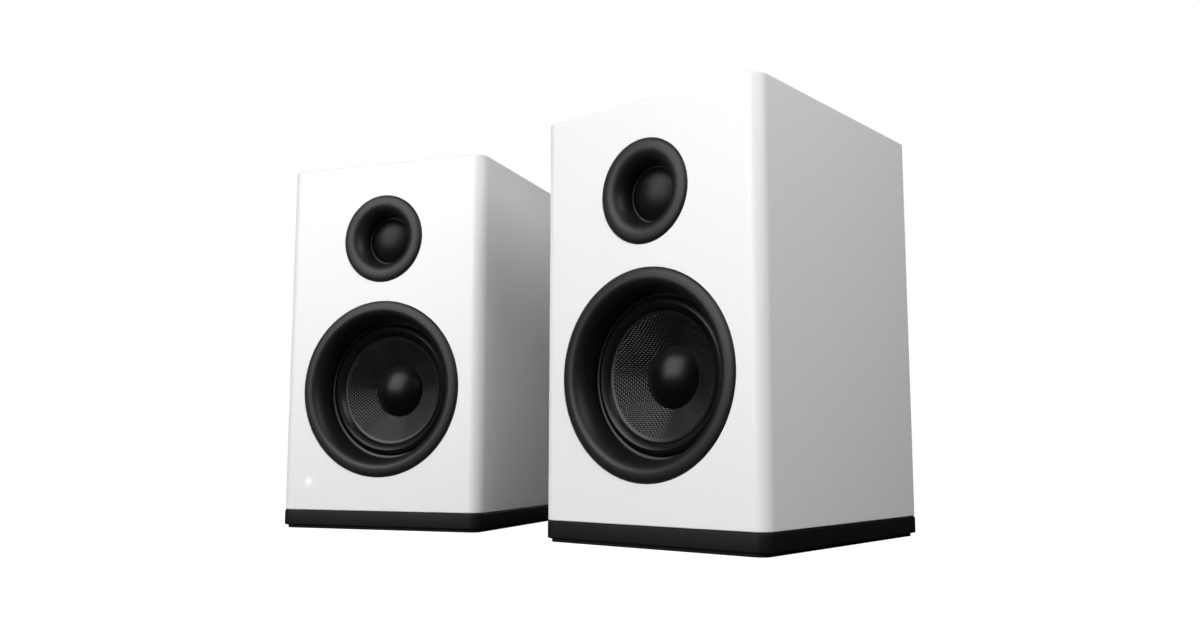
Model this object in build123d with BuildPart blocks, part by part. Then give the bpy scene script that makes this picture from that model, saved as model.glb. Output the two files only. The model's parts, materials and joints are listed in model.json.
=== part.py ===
from build123d import *
import os
from math import asin, cos, radians, sin

os.makedirs("parts", exist_ok=True)

# A pair of two-way desktop speakers on black plinths, in millimetres, +Z up.
# The left box carries the amplifier; the right box is passive.
# Every piece is drawn in its own speaker's frame: X across from the centre line,
# Y from the front face (0) to the back, Z up from the desk.

# Cabinet
WIDTH = 137.5
DEPTH = 160.0
HEIGHT = 227.0
WALL = 10.0
BAFFLE = 12.0  # thickness of the front panel
CORNER_R = 7.4  # upright front corners
EDGE_R = 1.0  # every other outer edge
BOTTOM_CHAMFER = 0.6

# Plinth and foot
PAD_H = 1.9
PAD_INSET = 2.0
BASE_TOP = 11.3
BASE_PROUD = 0.3
BASE_EDGE_R = 0.8

# Where the drivers and the status light sit on the front
WOOFER_Z = 85.6
TWEETER_Z = 179.0
LED_X = -48.9
LED_Z = 28.75
LED_R = 1.25

# Driver trims: outer radius, throat radius and throat depth of each flare
WOOFER_TRIM_R = 53.9
WOOFER_THROAT_R = WOOFER_TRIM_R - 11.6
WOOFER_THROAT_Y = 13.4
TWEETER_TRIM_R = 27.3
TWEETER_THROAT_R = TWEETER_TRIM_R - 12.4
TWEETER_THROAT_Y = 9.2
TRIM_PROUD = 1.6
TRIM_CREST = 4.9  # from the outer edge to the ring's highest line
TRIM_LIP = 1.6  # how far the throat's edge stands in front of the ring's seat
TRIM_REBATE = 3.0
TRIM_GAP = 0.2

# Woofer: the basket and the cone follow the trim in front of them
BASKET_R = WOOFER_TRIM_R + 2.3
BASKET_SCREW_R = WOOFER_TRIM_R - 0.5
BASKET_WINDOWS = 6
CONE_R = WOOFER_THROAT_R - 8.7
CONE_SLOPE = 0.576  # depth gained per millimetre towards the axis
CONE_T = 0.8
CAP_R = 16.5
CAP_RISE = 7.3
CAP_SKIN = 0.6
COIL_R = 12.4  # inside of the coil former
COIL_WALL = 0.35
COIL_WINDING = 0.65
COIL_CLEAR = 0.35  # air each side of the coil in the magnetic gap
SPIDER_Y = 30.0
MAGNET_R = 32.0
MAGNET_T = 11.0
PLATE_T = 4.0

# Tweeter
DOME_R = 9.4
DOME_RISE = 3.8
POT_R = 14.0
POT_FLANGE_R = 29.0
POT_SCREW_R = 26.0

# Fasteners: one self-tapping screw is used throughout
SCREW_R = 1.4
SCREW_L = 10.0
SCREW_HEAD_R = 2.8
SCREW_HEAD_H = 2.0
SCREW_HOLE_R = 1.5

# Back board, reflex port and rear plates
BOARD_T = 6.0
BOARD_INSET = 2.0
BOARD_GAP = 0.15
BLOCK = 14.0  # corner blocks the board is screwed to
BLOCK_L = 20.0
PORT_Z = 172.0
PORT_R = 15.0
PORT_WALL = 1.8
PORT_L = 64.0
PORT_LIP_R = 21.0
AMP_W = 92.0
AMP_H = 102.0
AMP_Z = 76.0
AMP_LEDGE = 7.0  # width of the plate's rim that lies on the board
PASSIVE_W = 72.0
PASSIVE_H = 54.0
PASSIVE_Z = 76.0

# Fittings on the amplifier plate, as X and Z
KNOB_AT = (24.0, 104.0)
KNOB_R = 11.0
KNOB_L = 13.0
SHAFT_R = 3.0
RCA_AT = ((-28.0, 106.0), (-13.0, 106.0))
JACK_AT = (1.0, 106.0)
DC_AT = (18.0, 46.0)
SWITCH_AT = (-16.0, 46.0)
VENT_AT = (22.0, 73.0)
TERMINAL_AT = (-14.0, 74.0)
TERMINAL_W = 36.0
TERMINAL_H = 20.0
LEVER_REST = 20.0  # degrees each lever leans out when released
ROCKER_TILT = 8.0  # degrees the rocker leans to either side
PIVOT_R = 1.0
PIVOT_FIT = 0.08

# How the two boxes stand: front-centre points and toe-in
LEFT_AT = (-197.3, 26.5)
LEFT_YAW = 10.18
RIGHT_AT = (0.0, 0.0)
RIGHT_YAW = -10.18

PLATE_Y = DEPTH - BOARD_INSET
BOARD_Y = PLATE_Y - BOARD_T
INNER_W = WIDTH - 2 * WALL
FLOOR_Z = BASE_TOP + WALL
CEIL_Z = HEIGHT - WALL
BLOCK_X = INNER_W / 2 - BLOCK / 2
BLOCK_ZS = (FLOOR_Z + BLOCK / 2, CEIL_Z - BLOCK / 2)
BLOCKS_AT = [(x, z) for x in (-BLOCK_X, BLOCK_X) for z in BLOCK_ZS]

# Depths along the woofer's axis
SURROUND_T = 0.6
FLANGE_Y = WOOFER_THROAT_Y + SURROUND_T
FLANGE_BACK_Y = FLANGE_Y + 2.5
CONE_RIM_Y = WOOFER_THROAT_Y + 1.6
NECK_R = COIL_R + COIL_WALL + 0.05
BASKET_BACK_Y = SPIDER_Y + 8.0
MAGNET_Y = BASKET_BACK_Y + PLATE_T
YOKE_Y = MAGNET_Y + MAGNET_T

# Depths along the tweeter's axis
DOME_SKIN = 0.35
RING_T = 0.4
POT_Y = TWEETER_THROAT_Y + RING_T
POT_FLOOR_Y = POT_Y + 8.9
DOME_COIL_R = DOME_R + 0.1
GAP_R = DOME_COIL_R + 0.8


def cone_depth(radius):
    """Depth of the woofer cone's front surface at a radius."""
    return CONE_RIM_Y + (CONE_R - 1.8 - radius) * CONE_SLOPE


def cap_crown(apex_y, foot_y, foot_r):
    """Point half way up a spherical cap centred on the driver's axis."""
    rise = foot_y - apex_y
    ball = (foot_r**2 + rise**2) / (2 * rise)
    lean = asin(foot_r / ball) / 2
    return (apex_y + ball - ball * cos(lean), ball * sin(lean))


def ring_at(count, radius, start):
    """X and Z of points spaced evenly round a circle."""
    angles = [radians(start + 360 * i / count) for i in range(count)]
    return [(radius * cos(a), radius * sin(a)) for a in angles]


def back_plane(y):
    """Sketch plane facing the back, with its X and Y along the speaker's X and Z."""
    return Plane((0, y, 0), x_dir=(1, 0, 0), z_dir=(0, -1, 0))


# ---- cabinet -------------------------------------------------------------


def cabinet(with_light):
    """Painted box, open at the back, with stepped holes for both drivers."""
    tall = HEIGHT - BASE_TOP
    with BuildPart() as shell:
        with Locations((0, DEPTH / 2, BASE_TOP + tall / 2)):
            Box(WIDTH, DEPTH, tall)
        upright = shell.edges().filter_by(Axis.Z)
        fillet(upright.group_by(Axis.Y)[0], radius=CORNER_R)
        upright = shell.edges().filter_by(Axis.Z)
        fillet(upright.group_by(Axis.Y)[-1], radius=EDGE_R)
        fillet(shell.faces().sort_by(Axis.Z)[-1].edges(), radius=EDGE_R)
        chamfer(shell.faces().sort_by(Axis.Z)[0].edges(), length=BOTTOM_CHAMFER)
        with Locations((0, (BAFFLE + DEPTH) / 2, (FLOOR_Z + CEIL_Z) / 2)):
            Box(INNER_W, DEPTH - BAFFLE, CEIL_Z - FLOOR_Z, mode=Mode.SUBTRACT)
        for x, z in BLOCKS_AT:
            with Locations((x, BOARD_Y - BLOCK_L / 2, z)):
                Box(BLOCK, BLOCK_L, BLOCK)
        with BuildSketch(back_plane(0)):
            with Locations((0, WOOFER_Z)):
                Circle(WOOFER_TRIM_R + TRIM_GAP)
            with Locations((0, TWEETER_Z)):
                Circle(TWEETER_TRIM_R + TRIM_GAP)
        extrude(amount=-TRIM_REBATE, mode=Mode.SUBTRACT)
        with BuildSketch(back_plane(0)):
            with Locations((0, WOOFER_Z)):
                Circle(WOOFER_TRIM_R - 3.3)
            with Locations((0, TWEETER_Z)):
                Circle(TWEETER_TRIM_R - 4.3)
            if with_light:
                with Locations((LED_X, LED_Z)):
                    Circle(LED_R + 0.1)
        extrude(amount=-BAFFLE, mode=Mode.SUBTRACT)
        with BuildSketch(back_plane(BAFFLE)):
            with Locations((0, WOOFER_Z)):
                with Locations(*ring_at(4, BASKET_SCREW_R, 45)):
                    Circle(SCREW_HOLE_R)
            with Locations((0, TWEETER_Z)):
                with Locations(*ring_at(3, POT_SCREW_R, 90)):
                    Circle(SCREW_HOLE_R)
        extrude(amount=BAFFLE - TRIM_REBATE - 0.3, mode=Mode.SUBTRACT)
        with BuildSketch(back_plane(BOARD_Y)):
            with Locations(*BLOCKS_AT):
                Circle(SCREW_HOLE_R)
        extrude(amount=SCREW_L, mode=Mode.SUBTRACT)
    return shell.part


def footprint(grow):
    """The cabinet's outline seen from above, grown or shrunk on every side."""
    with BuildSketch() as outline:
        with Locations((0, DEPTH / 2)):
            Rectangle(WIDTH + 2 * grow, DEPTH + 2 * grow)
        front = outline.vertices().group_by(Axis.Y)[0]
        fillet(front, radius=CORNER_R + grow)
        rear = outline.vertices().group_by(Axis.Y)[-1]
        fillet(rear, radius=EDGE_R + abs(grow))
    return outline.sketch


def base():
    """Black plinth, a hair wider than the box it carries."""
    with BuildPart() as plinth:
        with BuildSketch(Plane.XY.offset(PAD_H)):
            add(footprint(BASE_PROUD))
        extrude(amount=BASE_TOP - PAD_H)
        fillet(plinth.faces().sort_by(Axis.Z)[-1].edges(), radius=BASE_EDGE_R)
        fillet(plinth.faces().sort_by(Axis.Z)[0].edges(), radius=BASE_EDGE_R)
    return plinth.part


def foot_pad():
    """Thin soft pad under the plinth, set in from its edge."""
    with BuildPart() as pad:
        with BuildSketch():
            add(footprint(-PAD_INSET))
        extrude(amount=PAD_H)
    return pad.part


def back_board(opening_w, opening_h, plate_w, plate_h, plate_z):
    """Rear board with the port hole and one opening behind the rear plate."""
    with BuildPart() as board:
        with BuildSketch(back_plane(PLATE_Y)):
            with Locations((0, (FLOOR_Z + CEIL_Z) / 2)):
                Rectangle(INNER_W - 2 * BOARD_GAP, CEIL_Z - FLOOR_Z - 2 * BOARD_GAP)
            with Locations((0, plate_z)):
                Rectangle(opening_w, opening_h, mode=Mode.SUBTRACT)
            with Locations((0, PORT_Z)):
                Circle(PORT_R + PORT_WALL + TRIM_GAP, mode=Mode.SUBTRACT)
            with Locations(*BLOCKS_AT):
                Circle(SCREW_HOLE_R, mode=Mode.SUBTRACT)
            with Locations(*plate_screws(plate_w, plate_h, plate_z)):
                Circle(SCREW_HOLE_R, mode=Mode.SUBTRACT)
        extrude(amount=BOARD_T)
    return board.part


def port_tube():
    """Reflex port: a tube with a rounded mouth and a lip on the board."""
    inner_end = DEPTH - PORT_L
    outer = PORT_R + PORT_WALL
    with BuildPart() as tube:
        with BuildSketch(Plane.YZ):
            with BuildLine():
                Polyline(
                    (inner_end, PORT_R),
                    (DEPTH - 3.5, PORT_R),
                    (DEPTH, PORT_R + 2.4),
                    (DEPTH, PORT_LIP_R),
                    (PLATE_Y, PORT_LIP_R),
                    (PLATE_Y, outer),
                    (inner_end, outer),
                    close=True,
                )
            make_face()
        revolve(axis=Axis.Y)
        mouth = tube.edges().filter_by(GeomType.CIRCLE).group_by(Axis.Y)[-1]
        fillet(mouth.sort_by(SortBy.RADIUS)[-1:], radius=0.8)
    return tube.part


# ---- driver trims ----------------------------------------------------------


def trim(outer_r, throat_r, seat_y, skirt_r, lip):
    """Ring that swells to a rounded crest, then flares back to an edged throat."""
    crest_r = outer_r - TRIM_CREST
    edge_y = seat_y - lip
    with BuildPart() as ring:
        with BuildSketch(Plane.YZ):
            with BuildLine():
                EllipticalCenterArc(
                    (edge_y, crest_r),
                    edge_y + TRIM_PROUD,
                    crest_r - throat_r,
                    180,
                    arc_size=90,
                )
                Polyline(
                    (edge_y, throat_r),
                    (seat_y, throat_r + lip / 2),
                    (seat_y, throat_r + 1.5),
                    (seat_y * 0.45, skirt_r - 0.3),
                    (TRIM_REBATE, skirt_r - 0.3),
                    (TRIM_REBATE, outer_r),
                    (0.3, outer_r),
                )
                EllipticalCenterArc(
                    (0.3, crest_r), TRIM_PROUD + 0.3, TRIM_CREST, 90, arc_size=90
                )
            make_face()
        revolve(axis=Axis.Y)
    return ring.part


def woofer_trim():
    skirt_r = WOOFER_TRIM_R - 3.3
    return trim(WOOFER_TRIM_R, WOOFER_THROAT_R, WOOFER_THROAT_Y, skirt_r, TRIM_LIP)


def tweeter_trim():
    skirt_r = TWEETER_TRIM_R - 4.3
    return trim(TWEETER_TRIM_R, TWEETER_THROAT_R, TWEETER_THROAT_Y, skirt_r, TRIM_LIP / 2)


# ---- woofer, drawn round its own axis --------------------------------------


def woofer_basket():
    """Cast frame: flange behind the front panel, conical wall, spider ledge."""
    ledge_y = SPIDER_Y + 0.3
    wall_in = CONE_R + 7.4
    ledge_r = COIL_R + 13.1
    with BuildPart() as basket:
        with BuildSketch(Plane.YZ):
            with BuildLine():
                Polyline(
                    (BAFFLE, BASKET_R),
                    (FLANGE_BACK_Y, BASKET_R),
                    (FLANGE_BACK_Y, wall_in + 3.5),
                    (SPIDER_Y + 3, MAGNET_R),
                    (BASKET_BACK_Y, MAGNET_R),
                    (BASKET_BACK_Y, COIL_R + 2.1),
                    (BASKET_BACK_Y - 2, COIL_R + 2.1),
                    (BASKET_BACK_Y - 2, ledge_r),
                    (ledge_y, ledge_r),
                    (ledge_y, ledge_r + 4),
                    (FLANGE_BACK_Y, wall_in),
                    (FLANGE_Y, wall_in),
                    (FLANGE_Y, WOOFER_TRIM_R - 3.1),
                    (BAFFLE, WOOFER_TRIM_R - 3.1),
                    close=True,
                )
            make_face()
        revolve(axis=Axis.Y)
        for i in range(BASKET_WINDOWS):
            turn = radians(360 * i / BASKET_WINDOWS)
            across = Plane((0, 0, 0), (0, 1, 0), (cos(turn), 0, sin(turn)))
            with BuildSketch(across):
                with BuildLine():
                    Polyline(
                        (FLANGE_BACK_Y + 1.5, wall_in - 8),
                        (FLANGE_BACK_Y + 1.5, BASKET_R),
                        (ledge_y - 1.5, BASKET_R),
                        (ledge_y - 1.5, ledge_r + 1),
                        close=True,
                    )
                make_face()
            revolve(axis=Axis.Y, revolution_arc=38, mode=Mode.SUBTRACT)
        with BuildSketch(back_plane(BAFFLE)):
            with Locations(*ring_at(4, BASKET_SCREW_R, 45)):
                Circle(SCREW_R + 0.2)
        extrude(amount=-(FLANGE_BACK_Y - BAFFLE), mode=Mode.SUBTRACT)
    return basket.part


def woofer_surround():
    """Rubber half roll between the cone's rim and the basket flange."""
    inner_y = CONE_RIM_Y - SURROUND_T
    inner_r = CONE_R
    outer_r = WOOFER_THROAT_R - 0.8
    crest = ((inner_r + outer_r) / 2, WOOFER_THROAT_Y - 1.7)
    with BuildPart() as roll:
        with BuildSketch(Plane.YZ):
            with BuildLine():
                Line((inner_y, inner_r - 1.8), (inner_y, inner_r))
                ThreePointArc(
                    (inner_y, inner_r),
                    (crest[1], crest[0]),
                    (WOOFER_THROAT_Y, outer_r),
                )
                Polyline(
                    (WOOFER_THROAT_Y, outer_r),
                    (WOOFER_THROAT_Y, outer_r + 4.5),
                    (FLANGE_Y, outer_r + 4.5),
                    (FLANGE_Y, outer_r - 0.35),
                )
                ThreePointArc(
                    (FLANGE_Y, outer_r - 0.35),
                    (crest[1] + SURROUND_T, crest[0]),
                    (CONE_RIM_Y, inner_r + 0.1),
                )
                Polyline(
                    (CONE_RIM_Y, inner_r + 0.1),
                    (CONE_RIM_Y, inner_r - 1.8),
                    (inner_y, inner_r - 1.8),
                )
            make_face()
        revolve(axis=Axis.Y)
    return roll.part


def woofer_cone():
    """Woven cone with a flat rim and a short neck round the coil former."""
    rim_in = CONE_R - 1.8
    neck_y = cone_depth(NECK_R)
    with BuildPart() as cone:
        with BuildSketch(Plane.YZ):
            with BuildLine():
                Polyline(
                    (CONE_RIM_Y, CONE_R),
                    (CONE_RIM_Y, rim_in),
                    (neck_y, NECK_R),
                    (SPIDER_Y - 0.8, NECK_R),
                    (SPIDER_Y - 0.8, NECK_R + 0.6),
                    (neck_y + CONE_T, NECK_R + 0.6),
                    (CONE_RIM_Y + CONE_T, rim_in + 0.3),
                    (CONE_RIM_Y + 0.5, CONE_R),
                    close=True,
                )
            make_face()
        revolve(axis=Axis.Y)
    return cone.part


def woofer_dust_cap():
    """Shallow dome glued to the cone over the coil."""
    foot_y = cone_depth(CAP_R)
    apex_y = foot_y - CAP_RISE
    inner_r = CAP_R - CAP_SKIN
    inner_y = cone_depth(inner_r)
    with BuildPart() as cap:
        with BuildSketch(Plane.YZ):
            with BuildLine():
                ThreePointArc(
                    (foot_y, CAP_R), cap_crown(apex_y, foot_y, CAP_R), (apex_y, 0)
                )
                Line((apex_y, 0), (apex_y + CAP_SKIN, 0))
                ThreePointArc(
                    (apex_y + CAP_SKIN, 0),
                    cap_crown(apex_y + CAP_SKIN, inner_y, inner_r),
                    (inner_y, inner_r),
                )
                Line((inner_y, inner_r), (foot_y, CAP_R))
            make_face()
        revolve(axis=Axis.Y)
    return cap.part


def woofer_voice_coil():
    """Former with the winding round its back end."""
    tip = CONE_RIM_Y + 10
    wind_from = BASKET_BACK_Y - 2
    outer = COIL_R + COIL_WALL
    with BuildPart() as coil:
        with BuildSketch(Plane.YZ):
            with BuildLine():
                Polyline(
                    (tip, COIL_R),
                    (tip, outer),
                    (wind_from, outer),
                    (wind_from, outer + COIL_WINDING),
                    (wind_from + 8, outer + COIL_WINDING),
                    (wind_from + 8, COIL_R),
                    close=True,
                )
            make_face()
        revolve(axis=Axis.Y)
    return coil.part


def woofer_spider():
    """Corrugated cloth disc that centres the coil."""
    folds = 10
    inner = COIL_R + COIL_WALL + 0.25
    first = inner + 1.6
    last = COIL_R + 13.0
    radii = [first + (last - first) * i / folds for i in range(folds + 1)]
    top = [(SPIDER_Y - 0.2, inner)]
    for i, radius in enumerate(radii):
        top.append((SPIDER_Y - 0.2 + (0.6 if i % 2 else -0.2), radius))
    top.append((SPIDER_Y - 0.2, last + 0.8))
    top.append((SPIDER_Y - 0.2, last + 3.2))
    under = [(y + 0.5, radius) for y, radius in reversed(top)]
    with BuildPart() as disc:
        with BuildSketch(Plane.YZ):
            with BuildLine():
                Polyline(*top, *under, close=True)
            make_face()
        revolve(axis=Axis.Y)
    return disc.part


def washer(y, length, inner_r, outer_r):
    """Plain ring on the driver's axis."""
    with BuildPart() as ring:
        with BuildSketch(back_plane(y)):
            Circle(outer_r)
            Circle(inner_r, mode=Mode.SUBTRACT)
        extrude(amount=-length)
    return ring.part


def woofer_top_plate():
    bore = COIL_R + COIL_WALL + COIL_WINDING + COIL_CLEAR
    return washer(BASKET_BACK_Y, PLATE_T, bore, MAGNET_R - 2)


def woofer_magnet():
    return washer(MAGNET_Y, MAGNET_T, COIL_R + 3.6, MAGNET_R)


def woofer_yoke():
    """Steel back plate with the pole that fills the coil."""
    with BuildPart() as yoke:
        with BuildSketch(back_plane(YOKE_Y)):
            Circle(MAGNET_R - 3)
        extrude(amount=-PLATE_T)
        with BuildSketch(back_plane(YOKE_Y)):
            Circle(COIL_R - COIL_CLEAR)
        extrude(amount=YOKE_Y - BASKET_BACK_Y)
        chamfer(yoke.edges().group_by(Axis.Y)[-1], length=1)
    return yoke.part


# ---- tweeter, drawn round its own axis -------------------------------------


def tweeter_dome():
    """Soft dome with the small flange its coil hangs from."""
    foot_y = TWEETER_THROAT_Y
    apex_y = foot_y - DOME_RISE
    flange_y = foot_y + 0.3
    inner_r = DOME_R - DOME_SKIN
    with BuildPart() as dome:
        with BuildSketch(Plane.YZ):
            with BuildLine():
                ThreePointArc(
                    (apex_y, 0), cap_crown(apex_y, foot_y, DOME_R), (foot_y, DOME_R)
                )
                Polyline(
                    (foot_y, DOME_R),
                    (flange_y, DOME_R),
                    (flange_y, GAP_R - 0.3),
                    (flange_y + 0.3, GAP_R - 0.3),
                    (flange_y + 0.3, inner_r),
                )
                ThreePointArc(
                    (flange_y + 0.3, inner_r),
                    cap_crown(apex_y + DOME_SKIN, flange_y + 0.3, inner_r),
                    (apex_y + DOME_SKIN, 0),
                )
                Line((apex_y + DOME_SKIN, 0), (apex_y, 0))
            make_face()
        revolve(axis=Axis.Y)
    return dome.part


def tweeter_surround():
    """Small half roll from the dome's flange to the ring under the trim."""
    inner_r = GAP_R - 0.1
    outer_r = inner_r + 3.3
    crest_r = (inner_r + outer_r) / 2
    with BuildPart() as roll:
        with BuildSketch(Plane.YZ):
            with BuildLine():
                Line(
                    (TWEETER_THROAT_Y, DOME_R + 0.02), (TWEETER_THROAT_Y, inner_r)
                )
                ThreePointArc(
                    (TWEETER_THROAT_Y, inner_r),
                    (TWEETER_THROAT_Y - 1.2, crest_r),
                    (TWEETER_THROAT_Y, outer_r),
                )
                Polyline(
                    (TWEETER_THROAT_Y, outer_r),
                    (TWEETER_THROAT_Y, outer_r + 3.4),
                    (POT_Y, outer_r + 3.4),
                    (POT_Y, outer_r),
                )
                ThreePointArc(
                    (POT_Y, outer_r),
                    (TWEETER_THROAT_Y - 0.9, crest_r),
                    (TWEETER_THROAT_Y + 0.3, inner_r),
                )
                Polyline(
                    (TWEETER_THROAT_Y + 0.3, inner_r),
                    (TWEETER_THROAT_Y + 0.3, DOME_R + 0.02),
                    (TWEETER_THROAT_Y, DOME_R + 0.02),
                )
            make_face()
        revolve(axis=Axis.Y)
    return roll.part


def tweeter_voice_coil():
    return washer(TWEETER_THROAT_Y + 0.6, 4.8, DOME_COIL_R, GAP_R - 0.3)


def tweeter_pot():
    """Steel cup with its mounting flange, and the pole disc inside it."""
    with BuildPart() as pot:
        with BuildSketch(Plane.YZ):
            with BuildLine():
                Polyline(
                    (POT_Y, GAP_R),
                    (POT_Y, POT_R + 3),
                    (BAFFLE, POT_R + 3),
                    (BAFFLE, POT_FLANGE_R),
                    (BAFFLE + 1.5, POT_FLANGE_R),
                    (BAFFLE + 1.5, POT_R),
                    (POT_FLOOR_Y + 2.5, POT_R),
                    (POT_FLOOR_Y + 2.5, 0),
                    (POT_FLOOR_Y, 0),
                    (POT_FLOOR_Y, GAP_R),
                    close=True,
                )
            make_face()
        revolve(axis=Axis.Y)
        with BuildSketch(back_plane(BAFFLE)):
            with Locations(*ring_at(3, POT_SCREW_R, 90)):
                Circle(SCREW_R + 0.2)
        extrude(amount=-1.5, mode=Mode.SUBTRACT)
        with BuildSketch(back_plane(POT_FLOOR_Y - 7.9)):
            Circle(DOME_COIL_R - 0.3)
        extrude(amount=-3)
    return pot.part


def tweeter_magnet():
    """Neodymium disc between the cup's floor and the pole disc."""
    with BuildPart() as disc:
        with BuildSketch(back_plane(POT_FLOOR_Y - 4.9)):
            Circle(DOME_COIL_R - 1.1)
        extrude(amount=-4.9)
    return disc.part


# ---- fasteners ---------------------------------------------------------------


def screw():
    """Pan-head screw pointing forwards, with the underside of its head at 0."""
    with BuildPart() as body:
        with BuildSketch(back_plane(0)):
            Circle(SCREW_HEAD_R)
        extrude(amount=-SCREW_HEAD_H)
        fillet(body.edges().group_by(Axis.Y)[-1], radius=0.8)
        with BuildSketch(back_plane(0)):
            Circle(SCREW_R)
        extrude(amount=SCREW_L)
        chamfer(body.edges().group_by(Axis.Y)[0], length=0.6)
        with BuildSketch(back_plane(SCREW_HEAD_H)):
            Rectangle(3.2, 0.8)
            Rectangle(0.8, 3.2)
        extrude(amount=1, mode=Mode.SUBTRACT)
    return body.part


def plate_screws(width, height, centre_z):
    """Where a rear plate is screwed to the board."""
    x = width / 2 - AMP_LEDGE / 2
    z = height / 2 - AMP_LEDGE / 2
    return [(i * x, centre_z + k * z) for i in (-1, 1) for k in (-1, 1)]


def screws(plate_w, plate_h, plate_z):
    """Every screw of one speaker, as separate solids."""
    basket = ring_at(4, BASKET_SCREW_R, 45)
    pot = ring_at(3, POT_SCREW_R, 90)
    places = [(x, FLANGE_BACK_Y, WOOFER_Z + z) for x, z in basket]
    places += [(x, BAFFLE + 1.5, TWEETER_Z + z) for x, z in pot]
    places += [(x, PLATE_Y, z) for x, z in BLOCKS_AT]
    places += [(x, DEPTH, z) for x, z in plate_screws(plate_w, plate_h, plate_z)]
    one = screw()
    with BuildPart() as group:
        with Locations(*places):
            add(one)
    return group.part


# ---- rear plates and what they carry ---------------------------------------


def standoffs(points, length):
    """Posts that hold a circuit board in front of a rear plate."""
    with BuildSketch(back_plane(PLATE_Y)) as ends:
        with Locations(*points):
            Circle(2.2)
    extrude(ends.sketch, amount=length)


def amp_posts():
    """Where the two circuit boards of the left speaker are held."""
    x = AMP_W / 2 - AMP_LEDGE - 2.5
    upper = [(i * x, z) for i in (-1, 1) for z in (AMP_Z - 10, AMP_Z + 39)]
    lower = [(i * x, z) for i in (-1, 1) for z in (AMP_Z - 40, AMP_Z - 22)]
    return upper, lower


def amp_panel():
    """Metal plate with every control and socket of the left speaker."""
    upper, lower = amp_posts()
    with BuildPart() as panel:
        with BuildSketch(back_plane(DEPTH)):
            with Locations((0, AMP_Z)):
                RectangleRounded(AMP_W, AMP_H, 3)
            with Locations(*plate_screws(AMP_W, AMP_H, AMP_Z)):
                Circle(SCREW_R + 0.2, mode=Mode.SUBTRACT)
            with Locations(KNOB_AT):
                Circle(SHAFT_R + 1.6, mode=Mode.SUBTRACT)
            with Locations(*RCA_AT):
                Circle(4.3, mode=Mode.SUBTRACT)
            with Locations(JACK_AT):
                Circle(3.1, mode=Mode.SUBTRACT)
            with Locations(DC_AT):
                Circle(4.3, mode=Mode.SUBTRACT)
            with Locations(SWITCH_AT):
                Rectangle(14.2, 22.2, mode=Mode.SUBTRACT)
            with Locations(TERMINAL_AT):
                Rectangle(TERMINAL_W - 3.8, TERMINAL_H - 2.8, mode=Mode.SUBTRACT)
            with Locations(VENT_AT):
                with GridLocations(0, 4.5, 1, 5):
                    SlotOverall(24, 1.8, mode=Mode.SUBTRACT)
        extrude(amount=DEPTH - PLATE_Y)
        standoffs(upper, 14.4)
        standoffs(lower, 20.4)
    return panel.part


def terminal_plate():
    """Rear plate of the right speaker, with the cable terminals."""
    with BuildPart() as plate:
        with BuildSketch(back_plane(DEPTH)):
            with Locations((0, PASSIVE_Z)):
                RectangleRounded(PASSIVE_W, PASSIVE_H, 3)
                Rectangle(TERMINAL_W - 3.8, TERMINAL_H - 2.8, mode=Mode.SUBTRACT)
            with Locations(*plate_screws(PASSIVE_W, PASSIVE_H, PASSIVE_Z)):
                Circle(SCREW_R + 0.2, mode=Mode.SUBTRACT)
        extrude(amount=DEPTH - PLATE_Y)
        standoffs(crossover_posts(), 18.4)
    return plate.part


def crossover_posts():
    x = PASSIVE_W / 2 - AMP_LEDGE - 3
    z = PASSIVE_H / 2 - AMP_LEDGE - 3
    return [(i * x, PASSIVE_Z + k * z) for i in (-1, 1) for k in (-1, 1)]


def circuit_board(width, low_z, high_z, y):
    """Bare board whose back face is at y."""
    with Locations((0, y - 0.8, (low_z + high_z) / 2)):
        Box(width, 1.6, high_z - low_z)


def disc_at(x, z, y, radius, length, mode=Mode.ADD):
    """Round boss or hole from y, forwards if the length is positive."""
    with BuildSketch(back_plane(y)) as end:
        with Locations((x, z)):
            Circle(radius)
    extrude(end.sketch, amount=length, mode=mode)


def amp_board():
    """Amplifier board with its volume control, heat sink and capacitors."""
    back = PLATE_Y - 14.4
    front = back - 1.6
    width = AMP_W - 2 * AMP_LEDGE - 1
    with BuildPart() as board:
        circuit_board(width, AMP_Z - 14, AMP_Z + 43, back)
        with Locations((KNOB_AT[0], (back + PLATE_Y - 0.5) / 2, KNOB_AT[1])):
            Box(16, PLATE_Y - 0.5 - back, 16)
        with BuildSketch(back_plane(DEPTH + 0.6)):
            with Locations(KNOB_AT):
                Circle(SHAFT_R + 1.4)
        extrude(amount=BOARD_INSET + 1.1)
        with BuildSketch(back_plane(DEPTH + 0.6)):
            with Locations(KNOB_AT):
                Circle(SHAFT_R + PIVOT_FIT)
        extrude(amount=DEPTH + 0.6 - back - 3, mode=Mode.SUBTRACT)
        with Locations((-16, front - 9, AMP_Z + 24)):
            Box(34, 18, 3)
        for i in range(5):
            with Locations((-16, front - 9 - 2, AMP_Z + 27.5 + 3 * i)):
                Box(34, 12, 1.2)
        with Locations((-16, front - 1.5, AMP_Z + 32)):
            Box(34, 3, 18)
        for x in (12, 27):
            disc_at(x, AMP_Z + 4, front, 5, 16)
        with Locations((-16, front - 1, AMP_Z + 4)):
            Box(12, 2, 12)
    return board.part


def power_board():
    """Supply board with its choke and reservoir capacitor."""
    front = PLATE_Y - 20.4 - 1.6
    width = AMP_W - 2 * AMP_LEDGE - 1
    with BuildPart() as board:
        circuit_board(width, AMP_Z - 43, AMP_Z - 18, front + 1.6)
        with Locations((-20, front - 9, AMP_Z - 30)):
            Box(22, 18, 18)
        disc_at(6, AMP_Z - 30, front, 8, 22)
        disc_at(24, AMP_Z - 31, front, 5, 14)
    return board.part


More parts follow.
